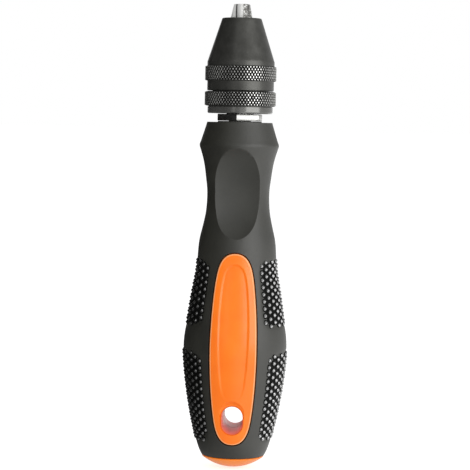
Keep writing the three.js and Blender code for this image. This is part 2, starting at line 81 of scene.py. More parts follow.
# Orange pads and their windows
PAD_BOTTOM = 7.8 * MM
PAD_TOP = 62.3 * MM
PAD_HALF_WIDTH = 6.6 * MM
PAD_WAIST_SHARE = 0.35
PAD_END_POWER = 12
PAD_END_ROOT_SHARE = 0.45
PAD_PROUD = 0.35 * MM
PAD_ROUND = 0.35 * MM
WINDOW_GAP = 0.35 * MM
FIELD_BOTTOM = 20.4 * MM
FIELD_TOP = 59.1 * MM
FIELD_MARGIN = 2.4 * MM
FIELD_FADE = 10 * MM
FIELD_DEPTH = 0.5 * MM
FIELD_WALL = 0.7 * MM

# How a pad's rings are spaced over its sunken field, the field's wall, the border, the rim and the seat
FIELD_SHARES = (1, 0.85, 0.7, 0.55, 0.4, 0.25, 0.12, 0.04)
FIELD_WALL_SHARES = (1, 0.85, 0.6, 0.4, 0.15, 0)
BORDER_STEPS = 12
RIM_STEPS = 4
SEAT_SHARES = (0, 0.25, 0.5, 0.75, 1)
RIM_START = len(FIELD_SHARES) + len(FIELD_WALL_SHARES) + BORDER_STEPS - 1
RIM_END = RIM_START + RIM_STEPS

# Hanging hole
HOLE_HEIGHT = 14.85 * MM
HOLE_WIDTH = 6.0 * MM
HOLE_TALL = 7.9 * MM
HOLE_DRAFT = 0.3 * MM
HOLE_DISH_WIDTH = 0.9 * MM
HOLE_DISH_DEPTH = 0.7 * MM
LINING_WALL = 1.2 * MM
HOLE_PARTING = 0.2 * MM

# The hole's dished mouth from its rim inwards: share of the dish's width, share of its depth
HOLE_DISH = [(1.0, 0.0), (0.86, 0.04), (0.7, 0.12), (0.56, 0.26), (0.46, 0.45), (0.38, 0.75), (0, 2.6)]

# Nub panels: side, bottom, top, nub columns a turn, outermost column, height of one of its nubs
PANELS = [
    (1, 8.2 * MM, 34.2 * MM, 48, 6, 30.2 * MM),
    (1, 41 * MM, 60.4 * MM, 44, 6, 58.8 * MM),
    (-1, 8.2 * MM, 34.2 * MM, 51, 7, 31.7 * MM),
    (-1, 41 * MM, 60.4 * MM, 39, 5, 57.8 * MM),
]
NUB_PITCH = 2.0 * MM
NUB_RISE = 0.45 * MM
NUB_BASE_RADIUS = 0.92 * MM
NUB_SIDES = 10
NUB_TIP_SHARE = 0.5
NUB_LEAST_DEPTH = 0.08
PANEL_SINK = 0.25 * MM
PANEL_END_POWER = 8
PANEL_EDGE_SLOPE = 6
# Panels deeper than this get painted shade on their floor between the nubs
PANEL_SHADE_DEPTH = 0.55

# A nub from below its foot to its point: share of its base radius, share of its height
NUB_SHAPE = [(0, -0.4), (1, -0.4), (1, 0.02), (0.82, 0.06), (0.6, 0.42), (0.36, 0.78), (0.17, 0.95), (0, 1)]

# Spindle
SHANK_RADIUS = 3.2 * MM
SHANK_BOTTOM = 44.8 * MM
WING_BOTTOM = 46 * MM
WING_HEIGHT = 12 * MM
WING_SPAN = 10.4 * MM
WING_THICKNESS = 2.4 * MM
WING_EDGE = WING_THICKNESS / 6
HEX_ACROSS_FLATS = 12 * MM
HEX_HEIGHT = 1.95 * MM
HEX_SEAT_GAP = 0.1 * MM
HEX_TURN = radians(-95.5)
HEX_EDGE = 0.22 * MM
STUD_RADIUS = 3.9 * MM
STUD_LENGTH = 8.6 * MM
STUD_GAP = 0.15 * MM
STUD_CHAMFER = 0.6 * MM
STUD_PLAIN_END = 1.2 * MM
STUD_PITCH = 0.75 * MM
STUD_GROOVE = 0.35 * MM

# Chuck
REAR_FACE_GAP = 0.15 * MM
LIP_HEIGHT = 2.1 * MM
REAR_KNURL_HEIGHT = 4.2 * MM
RUNNING_GAP = 0.2 * MM
SKIRT_HEIGHT = 2.7 * MM
FRONT_KNURL_HEIGHT = 4.4 * MM
CONE_LEAD = 1.1 * MM
CONE_HEIGHT = 12.5 * MM
KNURL_RISE = 0.66 * MM
KNURL_DEPTH = 0.3 * MM
KNURL_FLAT_SHARE = 0.42
KNURL_CHAMFER = 0.35 * MM
KNURL_COLUMNS = 140
KNURL_PITCH = 1.5 * MM
LIP_INSET = 0.2 * MM
LIP_CHAMFER = 0.4 * MM
LIP_GROOVE = 0.25 * MM
SLEEVE_EDGE = 0.15 * MM
CONE_LEAD_RISE = 0.08 * MM
CONE_BLEND = 0.2 * MM
CONE_BLEND_DROP = 0.03 * MM
NOSE_CHAMFER = 0.35 * MM
CHAMFER_KNEE = 0.3
BAND_WALL = 0.6 * MM

# Jaws and nut
JAW_COUNT = 3
FIRST_JAW_AZIMUTH = radians(-80)
JAW_LEAN = radians(14)
JAW_RADIUS = 1.6 * MM
JAW_REACH = 4.0 * MM
JAW_TIP_OFFSET = 0.76 * MM
JAW_PARTING = 0.1 * MM
JAW_SLIDE_GAP = 0.1 * MM
JAW_TAIL_LIFT = 0.55 * MM
JAW_TIP_EDGE = 0.14 * MM
THREAD_PITCH = 1.25 * MM
OPEN_TURNS = 5
THREAD_DEPTH = 0.4 * MM
THREAD_ROOT_HALF = 0.35 * MM
THREAD_CREST_HALF = 0.175 * MM
THREAD_PLAY = 0.15 * MM
THREAD_FLOOR_GAP = 0.2 * MM
NUT_BORE_GAP = 0.16 * MM
NUT_HEIGHT = 4.4 * MM
NUT_WALL = 0.95 * MM
FIT_GAP = 0.15 * MM
THRUST_RISE = 1.0 * MM
WASHER_THICKNESS = 0.55 * MM
WASHER_WIDTH = 0.7 * MM
REGISTER_HEIGHT = 0.6 * MM
COLLAR_THICKNESS = 1.2 * MM
COLLAR_RADIUS = 8.4 * MM
BODY_RADIUS = 8.0 * MM
SEAT_RADIUS = 7.6 * MM
SEAT_HEIGHT = 4.1 * MM
BODY_CONE_WALL = 0.45 * MM
SLEEVE_GAP = 0.25 * MM
NOSE_WALL = 1.6 * MM
NOSE_RECESS = 0.5 * MM
BIT_BORE_GAP = 0.15 * MM
BORE_RUNOUT = 0.35 * MM

# Fineness
GRIP_STEPS = 192
ROUND_STEPS = 128
INNER_STEPS = 64
DOME_STEPS = 20
OUTLINE_STEPS = 56
WALL_STEP = 0.5 * MM
INNER_WALL_STEP = 2 * MM
OVERRUN = 2 * MM
MERGE = 0.004 * MM
CUT_MERGE = 0.05 * MM
SHARP_ANGLE = radians(25)
SMOOTH_ANGLE = radians(32)
KNURL_SMOOTH_ANGLE = radians(20)

# Colours, linear; a pair is the darkest and the palest of one finish
RUBBER = ((0.0165, 0.0165, 0.012, 1), (0.0215, 0.0215, 0.016, 1))
# Painted shade: near-black for the panels' floor and the nubs' skirts, in place of the shade between the nubs
PANEL_SHADE_RUBBER = ((0.003, 0.003, 0.0027, 1), (0.005, 0.005, 0.0045, 1))
TIP_RUBBER = ((0.014, 0.014, 0.013, 1), (0.022, 0.022, 0.02, 1))
ORANGE = ((0.90, 0.165, 0.002, 1), (0.94, 0.195, 0.004, 1))
# Painted highlight: paler orange along the pads' rounded rims
RIM_HIGHLIGHT_ORANGE = ((0.93, 0.34, 0.12, 1), (0.96, 0.4, 0.16, 1))
# Painted light: the downward-facing dome made paler, in place of light from the floor below
DOME_PAINTED_LIGHT_ORANGE = (0.94, 0.27, 0.02, 1)
# Painted sheen: pale pink in place of the white reflection on the hole's orange wall
LINING_PAINTED_SHEEN = (0.98, 0.34, 0.29, 1)
# Painted shade in the hanging hole's mid-depth groove
PARTING_SHADE_BROWN = (0.3, 0.08, 0.06, 1)
PALE_PLASTIC = ((0.74, 0.66, 0.57, 1), (0.82, 0.75, 0.67, 1))
BLACK_OXIDE = ((0.055, 0.055, 0.05, 1), (0.075, 0.075, 0.069, 1))
# Near-black for the knurls' grooves and for the painted shade at the jaws' seams
CREVICE_BLACK = (0.01, 0.01, 0.009, 1)
WORN_STEEL = (0.62, 0.62, 0.6, 1)
GROUND_STEEL = ((0.48, 0.48, 0.46, 1), (0.64, 0.64, 0.62, 1))
# Painted sheen: near-white and less metallic on the jaws, in place of their white reflection
JAW_PAINTED_SHEEN_STEEL = (0.95, 0.95, 0.93, 1)
# Dark brown stain colour for the jaws, laid only on their lit right side, so partly painted shade
STAIN_AND_SHADE_BROWN = (0.05, 0.046, 0.036, 1)
WHITE = (1, 1, 1, 1)
FLOOR_GREY = (0.8, 0.8, 0.8, 1)
CARD_BLACK = (0.01, 0.01, 0.01, 1)

# Where a noise turns from the one colour of a pair to the other
CLOUDY = (0.3, 0.7)
COAT_ROUGHNESS = 0.2

# Stage, in metres. Lamps: name, place, width and height, watts, whether reflections show it.
FLOOR_SIZE = 400
FLOOR_DROP = 0.4 * MM
CARD_PLACE = (-0.42, 0.0, 0.55)
CARD_SCALE = (1.1, 1.6, 1)
LAMP_AIM = (0, 0, 67 * MM)
LAMPS = [
    ("key_right", (0.6, -0.53, 0.28), (0.8, 0.56), 4.3, True),
    ("fill_left", (-0.5, -0.7, 0.3), (0.4, 0.6), 2.0, False),
    ("strip_left", (-0.27, -0.75, 0.3), (0.06, 0.5), 0.1, True),
]

# Heights along the chuck
HEX_BOTTOM = HANDLE_LENGTH + TOP_RING_RISE + HEX_SEAT_GAP
HEX_TOP = HEX_BOTTOM + HEX_HEIGHT
REAR_FACE = HEX_TOP + REAR_FACE_GAP
LIP_TOP = REAR_FACE + LIP_HEIGHT
REAR_TOP = LIP_TOP + REAR_KNURL_HEIGHT
SEAT_TOP = REAR_FACE + SEAT_HEIGHT
SKIRT_BOTTOM = REAR_TOP + RUNNING_GAP
SKIRT_TOP = SKIRT_BOTTOM + SKIRT_HEIGHT
FRONT_KNURL_TOP = SKIRT_TOP + FRONT_KNURL_HEIGHT
CONE_BOTTOM = FRONT_KNURL_TOP + CONE_LEAD
NOSE_FACE = CONE_BOTTOM + CONE_HEIGHT
JAW_TIP = NOSE_FACE + JAW_REACH
THRUST_FACE = SKIRT_TOP + THRUST_RISE
NUT_BOTTOM = THRUST_FACE + WASHER_THICKNESS + 2 * FIT_GAP
NUT_TOP = NUT_BOTTOM + NUT_HEIGHT
SHOULDER = NUT_TOP + FIT_GAP
BODY_CONE_BOTTOM = SHOULDER + FIT_GAP
BODY_FACE = NOSE_FACE - NOSE_RECESS
JAW_TAIL = NUT_BOTTOM + JAW_TAIL_LIFT
JAW_SLOPE = tan(JAW_LEAN)


def jaw_azimuth(index):
    """Which way a jaw lies from the tool's axis."""
    return FIRST_JAW_AZIMUTH + FULL_TURN * index / JAW_COUNT


def jaw_axis(z):
    """How far a closed jaw's axis lies from the tool's axis."""
    return JAW_TIP_OFFSET + (JAW_TIP - z) * JAW_SLOPE


def jaw_outer(z):
    """How far a closed jaw's outer side lies from the tool's axis."""
    return jaw_axis(z) + JAW_RADIUS / cos(JAW_LEAN)


JAW_DROP = OPEN_TURNS * THREAD_PITCH
OPEN_TAIL = JAW_TAIL - JAW_DROP - JAW_RADIUS * sin(JAW_LEAN)
BORE_END = OPEN_TAIL - BORE_RUNOUT
NUT_RADIUS = jaw_outer(NUT_BOTTOM) + NUT_BORE_GAP + NUT_WALL
SLEEVE_BORE = NUT_RADIUS + FIT_GAP
BAND_RADIUS = SLEEVE_BORE + SLEEVE_GAP + BAND_WALL
KNURL_RADIUS = BAND_RADIUS + KNURL_RISE
TAIL_HOLLOW = jaw_outer(OPEN_TAIL + JAW_SLIDE_GAP) + JAW_SLIDE_GAP
BIT_BORE = JAW_DROP * JAW_SLOPE + BIT_BORE_GAP
NOSE_OPENING = jaw_outer(NOSE_FACE) + BODY_CONE_WALL + SLEEVE_GAP
NOSE_RADIUS = NOSE_OPENING + NOSE_WALL


# Modelling by hand

def select_none():
    """Clears the selection before a new primitive."""
    bpy.ops.object.select_all(action="DESELECT")


def work_on(obj):
    """Only this object is selected and active."""
    select_none()
    obj.select_set(True)
    bpy.context.view_layer.objects.active = obj


def open_mesh(obj):
    """Starts editing the object's mesh."""
    work_on(obj)
    bpy.ops.object.mode_set(mode="EDIT")


def close_mesh():
    """Ends editing."""
    bpy.ops.object.mode_set(mode="OBJECT")


def just_added(name):
    """The primitive that was added last, named."""
    obj = bpy.context.object
    obj.name = name
    obj.data.name = name
    return obj


def tidy_mesh(obj):
    """Merges doubles, points the faces outwards and leaves the object at the origin, unturned."""
    work_on(obj)
    bpy.ops.object.transform_apply(location=True, rotation=True, scale=True)
    open_mesh(obj)
    bpy.ops.mesh.select_all(action="SELECT")
    bpy.ops.mesh.remove_doubles(threshold=MERGE)
    bpy.ops.mesh.dissolve_degenerate(threshold=MERGE)
    bpy.ops.mesh.normals_make_consistent(inside=False)
    close_mesh()
    return obj


def skinned(name, rings):
    """A skin over rings of points: the first ring is extruded from ring to ring."""
    select_none()
    bpy.ops.mesh.primitive_circle_add(vertices=len(rings[0]), radius=MM, fill_type="NOTHING")
    obj = just_added(name)
    open_mesh(obj)
    shell = bmesh.from_edit_mesh(obj.data)
    shell.verts.ensure_lookup_table()
    current = list(range(len(rings[0])))
    for vertex, point in zip(shell.verts, rings[0]):
        vertex.co = point
    for ring in rings[1:]:
        bpy.ops.mesh.extrude_edges_indiv()
        shell = bmesh.from_edit_mesh(obj.data)
        shell.verts.ensure_lookup_table()
        following = []
        for index, point in zip(current, ring):
            start = shell.verts[index]
            ahead = next(edge.other_vert(start) for edge in start.link_edges if edge.other_vert(start).select)
            ahead.co = point
            following.append(ahead)
        current = [vertex.index for vertex in following]
    close_mesh()
    return obj


def capped(name, rings):
    """A skin over rings of points with a lid on its first and its last ring."""
    obj = skinned(name, rings)
    open_mesh(obj)
    shell = bmesh.from_edit_mesh(obj.data)
    for edge in shell.edges:
        edge.select = edge.is_boundary
    bpy.ops.mesh.edge_face_add()
    close_mesh()
    return tidy_mesh(obj)


def turned(name, profile, steps=ROUND_STEPS):
    """A solid spun about the tool's axis from an outline of (radius, height) points."""
    on_axis = profile[0][0] == 0 and profile[-1][0] == 0
    select_none()
    bpy.ops.mesh.primitive_circle_add(vertices=len(profile), radius=MM, fill_type="NOTHING")
    obj = just_added(name)
    open_mesh(obj)
    outline = bmesh.from_edit_mesh(obj.data)
    outline.verts.ensure_lookup_table()
    for vertex, (radius, z) in zip(outline.verts, profile):
        vertex.co = (0, -radius, z)
    if on_axis:
        shut = outline.edges.get((outline.verts[0], outline.verts[len(profile) - 1]))
        outline.edges.remove(shut)
    for part in (*outline.verts, *outline.edges):
        part.select = True
    bmesh.update_edit_mesh(obj.data)
    bpy.ops.mesh.spin(steps=steps, angle=FULL_TURN, center=(0, 0, 0), axis=(0, 0, 1))
    close_mesh()
    return tidy_mesh(obj)


def combined(obj, tool, operation, finishes="INDEX"):
    """Joins the tool to the piece or cuts it away, then removes the tool."""
    work_on(obj)
    modifier = obj.modifiers.new("boolean", "BOOLEAN")
    modifier.object = tool
    modifier.operation = operation
    modifier.solver = "MANIFOLD"
    modifier.material_mode = finishes
    bpy.ops.object.modifier_apply(modifier=modifier.name)
    bpy.data.objects.remove(tool)
    return obj


def round_edges(obj, width, segments, lowest=0):
    """Rounds the sharp edges that lie above a height."""
    open_mesh(obj)
    bpy.ops.mesh.select_mode(type="EDGE")
    shell = bmesh.from_edit_mesh(obj.data)
    for edge in shell.edges:
        middle = (edge.verts[0].co + edge.verts[1].co) / 2
        sharp = len(edge.link_faces) == 2 and edge.calc_face_angle(0) > SHARP_ANGLE
        edge.select = sharp and middle.z > lowest
    bmesh.update_edit_mesh(obj.data)
    bpy.ops.mesh.bevel(offset=width, segments=segments, profile=0.5, affect="EDGES", clamp_overlap=True)
    bpy.ops.mesh.select_mode(type="VERT")
    close_mesh()
    return obj


def dressed(obj, *finishes):
    """Gives the object its finishes in this order."""
    for finish in finishes:
        obj.data.materials.append(finish)
    return obj


def smooth(obj, angle=SMOOTH_ANGLE):
    """Shades the object smooth except over sharper edges."""
    work_on(obj)
    bpy.ops.object.shade_smooth_by_angle(angle=angle)
    return obj


def ring_point(radius, azimuth, z):
    """A place by its distance from the tool's axis, its direction and its height."""
    return radius * cos(azimuth), radius * sin(azimuth), z


def steps_between(low, high, step):
    """Even steps from low to high, both included, near the given length."""
    count = max(1, round((high - low) / step))
    return [low + (high - low) * i / count for i in range(count + 1)]


# Surfaces of the handle

def grip_radius(z):
    """The outside of the grip at a height: a smooth curve through the shares."""
    knots = [(along * HANDLE_LENGTH, across * GRIP_RADIUS) for along, across in GRIP_SHARES]
    if z <= knots[0][0]:
        return knots[0][1]
    if z >= knots[-1][0]:
        return knots[-1][1]
    i = next(at for at in range(len(knots) - 1) if z <= knots[at + 1][0])

    def slope(at):
        """How fast the curve widens at a knot."""
        before = knots[max(at - 1, 0)]
        after = knots[min(at + 1, len(knots) - 1)]
        return (after[1] - before[1]) / (after[0] - before[0])

    width = knots[i + 1][0] - knots[i][0]
    t = (z - knots[i][0]) / width
    along = t * t * (3 - 2 * t)
    lean = slope(i) * t * (1 - t) ** 2 - slope(i + 1) * t * t * (1 - t)
    return knots[i][1] * (1 - along) + knots[i + 1][1] * along + width * lean


def orange_radius(z):
    """The outside of the orange wall under the rubber."""
    return grip_radius(z) - RUBBER_WALL - MOULD_GAP


def core_radius(z):
    """The outside of the pale core under the orange wall."""
    return orange_radius(z) - ORANGE_WALL


def pad_outline(inset, bottom=PAD_BOTTOM, top=PAD_TOP):
    """Outline of a pad, right side up and left side down, drawn in by the inset."""
    middle = (bottom + top) / 2
    half = (top - bottom) / 2 - inset
    right = []
    for step in range(OUTLINE_STEPS + 1):
        t = -cos(pi * step / OUTLINE_STEPS)
        waist = 1 - PAD_WAIST_SHARE * t * t
        ends = max(0, 1 - abs(t) ** PAD_END_POWER) ** PAD_END_ROOT_SHARE
        right.append((max(0, PAD_HALF_WIDTH - inset) * waist * ends, middle + half * t))
    left = [(-x, z) for x, z in reversed(right[1:-1])]
    return right + left


def hole_ring(y, spread):
    """One obround section of the hanging hole."""
    width = HOLE_WIDTH + 2 * spread
    straight = (HOLE_TALL - HOLE_WIDTH) / 2
    points = []
    for step in range(INNER_STEPS):
        angle = FULL_TURN * (step + 0.5) / INNER_STEPS
        lift = copysign(straight, sin(angle))
        x = width / 2 * cos(angle)
        points.append((x, y, HOLE_HEIGHT + width / 2 * sin(angle) + lift))
    return points


def hole_cutter():
    """The hanging hole: two tapered halves and a dished mouth at both ends."""
    face = grip_radius(HOLE_HEIGHT) + PAD_PROUD
    half = [(face + OVERRUN, HOLE_DISH_WIDTH + OVERRUN)]
    half += [(face - depth * HOLE_DISH_DEPTH, width * HOLE_DISH_WIDTH) for width, depth in HOLE_DISH]
    half += [(HOLE_PARTING, -HOLE_DRAFT)]
    stations = [(-y, spread) for y, spread in half] + [(0, HOLE_PARTING - HOLE_DRAFT)] + half[::-1]
    return capped("hole_cutter", [hole_ring(y, spread) for y, spread in stations])


def hole_lining(gap, half_length):
    """The orange tube round the hanging hole, let out by a gap for what goes round it."""
    return capped("hole_lining", [hole_ring(y, LINING_WALL + gap) for y in (-half_length, half_length)])


# Grip

def panel_depth(azimuth, z):
    """How far inside a nub panel a place is: 0 outside, 1 well inside."""
    facing = cos(azimuth)
    aside = asin(min(1, abs(sin(azimuth)))) / FULL_TURN
    best = 0
    for side, bottom, top, columns, outermost, _ in PANELS:
        across = aside * columns / (outermost + 0.5)
        along = abs(2 * z - top - bottom) / (top - bottom)
        if side * facing > 0:
            best = max(best, 1 - across ** PANEL_END_POWER - along ** PANEL_END_POWER)
    return best


def window_prism():
    """The cutter of the pads' windows, front to back."""
    reach = GRIP_RADIUS + OVERRUN
    outline = pad_outline(-WINDOW_GAP)
    return capped("window_prism", [[(x, y, z) for x, z in outline] for y in (-reach, reach)])


def nub(rubber, tip_rubber):
    """One nub, standing on the XY plane: a low skirt and a pointed dome with a shiny tip; below the tip it
    takes the first finish, which on the grip is the panels' painted shade.
    """
    height = PANEL_SINK + NUB_RISE
    profile = [(across * NUB_BASE_RADIUS, along * height) for across, along in NUB_SHAPE]
    obj = dressed(turned("nub", profile, NUB_SIDES), rubber, tip_rubber)
    for face in obj.data.polygons:
        face.material_index = int(face.center.z > NUB_TIP_SHARE * height)
    return obj


def nub_places():
    """Where the nubs stand: staggered columns inside the panels, on the tool's two sides."""
    for side, bottom, top, columns, outermost, start in PANELS:
        lowest = ceil((bottom - start) * 2 / NUB_PITCH)
        highest = int((top - start) * 2 / NUB_PITCH)
        for row in range(lowest, highest + 1):
            z = start + row * NUB_PITCH / 2
            slope = (grip_radius(z + MM) - grip_radius(z - MM)) / (2 * MM)
            for column in range(-outermost, outermost + 1):
                turn = FULL_TURN * column / columns
                azimuth = turn if side > 0 else pi - turn
                if (row + column + outermost) % 2 == 0 and panel_depth(azimuth, z) > NUB_LEAST_DEPTH:
                    normal = Vector((cos(azimuth), sin(azimuth), -slope))
                    yield ring_point(grip_radius(z) - PANEL_SINK, azimuth, z), normal


def nub_field(rubber, tip_rubber):
    """All the nubs as one object, each square to the grip's surface."""
    first = nub(rubber, tip_rubber)
    nubs = []
    for place, normal in nub_places():
        twin = first.copy()
        twin.data = first.data.copy()
        turn = normal.to_track_quat("Z", "Y").to_matrix().to_4x4()
        twin.data.transform(Matrix.Translation(place) @ turn)
        bpy.context.scene.collection.objects.link(twin)
        nubs.append(twin)
    bpy.data.objects.remove(first)
    work_on(nubs[0])
    for twin in nubs:
        twin.select_set(True)
    bpy.ops.object.join()
    return nubs[0]


def on_outside(x, y, z):
    """Whether a place is on the outer skin of the grip."""
    return hypot(x, y) > grip_radius(z) - RUBBER_WALL / 2


def grip_blank(rubber, painted_shade_rubber):
    """The turned overmould with its nub panels sunk, their floor darkened as painted shade."""
    seam = ORANGE_TOP + MOULD_GAP
    ring_top = HANDLE_LENGTH + TOP_RING_RISE
    lip = HANDLE_LENGTH - RUBBER_LIP
    shank = SHANK_RADIUS + MOULD_GAP
    neck = CORE_NECK_RADIUS + MOULD_GAP
    outside = [(grip_radius(z), z) for z in steps_between(RUBBER_BOTTOM, HANDLE_LENGTH, WALL_STEP)]
    top = [
        (TOP_RING_OUTER, HANDLE_LENGTH), (TOP_RING_OUTER, ring_top), (TOP_RING_INNER, ring_top),
        (TOP_RING_INNER, HANDLE_LENGTH), (shank, HANDLE_LENGTH), (shank, lip), (neck, lip), (neck, seam),
    ]
    hollow = steps_between(seam, RUBBER_BOTTOM, -INNER_WALL_STEP)
    inside = [(grip_radius(z) - RUBBER_WALL, z) for z in hollow]
    grip = dressed(turned("soft_grip", outside + top + inside, GRIP_STEPS), rubber, painted_shade_rubber)
    for vertex in grip.data.vertices:
        x, y, z = vertex.co
        if on_outside(x, y, z) and RUBBER_BOTTOM < z < HANDLE_LENGTH:
            radius = hypot(x, y)
            sink = PANEL_SINK * min(1, PANEL_EDGE_SLOPE * panel_depth(atan2(y, x), z))
            vertex.co = (x * (radius - sink) / radius, y * (radius - sink) / radius, z)
    # Faces well inside a panel take the second finish, painted shade
    for face in grip.data.polygons:
        x, y, z = face.center
        dark = on_outside(x, y, z) and panel_depth(atan2(y, x), z) > PANEL_SHADE_DEPTH
        face.material_index = int(dark)
    return grip


def scoop_ball(side):
    """The cutter of one thumb scoop, in front or behind."""
    select_none()
    place = (0, side * (SCOOP_FLOOR + SCOOP_RADIUS), SCOOP_HEIGHT)
    bpy.ops.mesh.primitive_uv_sphere_add(segments=INNER_STEPS * 3, ring_count=INNER_STEPS * 2,
                                         radius=SCOOP_RADIUS, location=place)
    ball = just_added("scoop_ball")
    for vertex in ball.data.vertices:
        x, y, z = vertex.co
        along = abs(z) / SCOOP_RADIUS
        if z < 0:
            taper = 1 - SCOOP_TAPER_SHARE * along ** SCOOP_TAPER_POWER
            vertex.co = (x * taper, y, z * SCOOP_FOOT_SHARE)
        else:
            vertex.co = (x * (1 + SCOOP_FLARE_SHARE * along ** 2), y, z)
    ball.scale = (SCOOP_WIDTH_SHARE, 1, 1)
    return tidy_mesh(ball)


def soft_grip(rubber, painted_shade_rubber, tip_rubber):
    """The rubber overmould with its windows, scoops, sunken panels and nubs."""
    grip = grip_blank(rubber, painted_shade_rubber)
    combined(grip, window_prism(), "DIFFERENCE")
    for side in (-1, 1):
        combined(grip, scoop_ball(side), "DIFFERENCE")
    open_mesh(grip)
    bpy.ops.mesh.select_all(action="SELECT")
    bpy.ops.mesh.remove_doubles(threshold=CUT_MERGE)
    close_mesh()
    # The nubs' skirts and flanks carry the panels' painted shade
    combined(grip, nub_field(painted_shade_rubber, tip_rubber), "UNION", "TRANSFER")
    return smooth(grip)


# Orange moulding

def pad_height(x, z, sunk):
    """The front face of a pad at a place, as a distance from the tool's axis plane."""
    fade = min(1, max(0, (z - FIELD_BOTTOM) / FIELD_FADE))
    radius = grip_radius(z) + PAD_PROUD - sunk * FIELD_DEPTH * fade
    return sqrt(radius * radius - x * x)


def pad_ring(outline, sunk=0, drop=0):
    """An outline laid on a pad's front face, sunk into its field or dropped below it."""
    return [(x, pad_height(x, z, sunk) - drop, z) for x, z in outline]


def pad_rings():
    """Rings of one pad from the middle of its face, out over its rim and back along its seat."""
    field = (FIELD_BOTTOM - FIELD_MARGIN, FIELD_TOP + FIELD_MARGIN)
    foot = FIELD_MARGIN + FIELD_WALL / 2
    rings = []
    for share in FIELD_SHARES:
        rings.append(pad_ring(pad_outline(foot + share * (PAD_HALF_WIDTH - foot), *field), 1))
    for share in FIELD_WALL_SHARES:
        outline = pad_outline(FIELD_MARGIN + (share - 0.5) * FIELD_WALL, *field)
        rings.append(pad_ring(outline, share * share * (3 - 2 * share)))
    border = list(zip(pad_outline(FIELD_MARGIN - FIELD_WALL / 2, *field), pad_outline(PAD_ROUND)))
    for step in range(1, BORDER_STEPS + 1):
        share = step / BORDER_STEPS
        outline = [(x + (x_out - x) * share, z + (z_out - z) * share) for (x, z), (x_out, z_out) in border]
        rings.append(pad_ring(outline))
    for step in range(1, RIM_STEPS + 1):
        angle = pi / 2 * step / RIM_STEPS
        outline = pad_outline(PAD_ROUND * (1 - sin(angle)))
        rings.append(pad_ring(outline, drop=PAD_ROUND * (1 - cos(angle))))
    seat = PAD_PROUD + RUBBER_WALL + MOULD_GAP + ORANGE_WALL / 2
    rings += [pad_ring(pad_outline(share * PAD_HALF_WIDTH), drop=seat) for share in SEAT_SHARES]
    return rings


def orange_pad(side, orange, highlight_rim_orange):
    """One pad, in front or behind, with a painted highlight on its rounded rim."""
    rings = [[(x, side * y, z) for x, y, z in ring] for ring in pad_rings()]
    pad = dressed(skinned("pad", rings), orange, highlight_rim_orange)
    for face in pad.data.polygons:
        x, y, z = face.center
        drop = pad_height(x, z, 0) - abs(y)
        on_rim = RIM_START <= face.index // len(rings[0]) < RIM_END
        # The rounded rim takes the paler finish as a painted highlight
        face.material_index = int(on_rim and drop < PAD_ROUND)
    return tidy_mesh(pad)


def dome_profile(seam):
    """The outline of the domed butt from its apex to its rim under the rubber."""
    height = RUBBER_BOTTOM - DOME_RIM_EDGE
    radius = (DOME_RIM_RADIUS ** 2 + height ** 2) / (2 * height)
    spread = asin(DOME_RIM_RADIUS / radius)
    dome = []
    for step in range(DOME_STEPS + 1):
        angle = spread * step / DOME_STEPS
        dome.append((radius * sin(angle), radius * (1 - cos(angle))))
    inner = DOME_RIM_RADIUS - DOME_EDGE
    low = dome[-1][1] - DOME_EDGE * tan(spread)
    dome[-1] = (inner, low)
    return dome + [(DOME_RIM_RADIUS, low + DOME_EDGE), (DOME_RIM_RADIUS, seam - DOME_EDGE), (inner, seam)]


def orange_moulding(orange, highlight_rim_orange):
    """The dome, the wall under the rubber and both pads, with the hanging hole."""
    seam = RUBBER_BOTTOM - MOULD_GAP
    wall = [(orange_radius(z), z) for z in steps_between(seam, ORANGE_TOP, INNER_WALL_STEP)]
    hollow = steps_between(ORANGE_TOP, ORANGE_FLOOR, -INNER_WALL_STEP)
    inside = [(core_radius(z) + MOULD_GAP, z) for z in hollow]
    body = turned("orange_moulding", dome_profile(seam) + wall + inside + [(0, ORANGE_FLOOR)])
    dressed(body, orange, highlight_rim_orange)
    for side in (-1, 1):
        combined(body, orange_pad(side, orange, highlight_rim_orange), "UNION")
    combined(body, hole_lining(0, orange_radius(HOLE_HEIGHT) - ORANGE_WALL / 2), "UNION")
    combined(body, hole_cutter(), "DIFFERENCE")
    return smooth(body)


# Core and spindle

def winged_shank(gap, top):
    """The spindle's shank with its two wings, let out by a gap for what goes round it."""
    low = SHANK_BOTTOM - gap
    radius = SHANK_RADIUS + gap
    shank = turned("shank", [(0, low), (radius, low), (radius, top), (0, top)], INNER_STEPS)
    select_none()
    bpy.ops.mesh.primitive_cube_add(size=1, location=(0, 0, WING_BOTTOM + WING_HEIGHT / 2))
    wings = just_added("wings")
    wings.scale = (WING_SPAN + 2 * gap, WING_THICKNESS + 2 * gap, WING_HEIGHT + 2 * gap)
    tidy_mesh(wings)
    round_edges(wings, WING_EDGE, 2)
    return combined(shank, wings, "UNION")


def pale_core(pale):
    """The inner moulding that holds the spindle's wings and lets the hole's lining through."""
    low = ORANGE_FLOOR + MOULD_GAP
    high = ORANGE_TOP - MOULD_GAP
    top = HANDLE_LENGTH - RUBBER_LIP - MOULD_GAP
    wide = [(core_radius(z), z) for z in steps_between(low, high, INNER_WALL_STEP)]
    neck = [(CORE_NECK_RADIUS, high), (CORE_NECK_RADIUS, top), (0, top)]
    core = dressed(turned("pale_core", [(0, low)] + wide + neck), pale)
    combined(core, winged_shank(MOULD_GAP, HANDLE_LENGTH + OVERRUN), "DIFFERENCE")
    combined(core, hole_lining(MOULD_GAP, GRIP_RADIUS), "DIFFERENCE")
    return smooth(core)


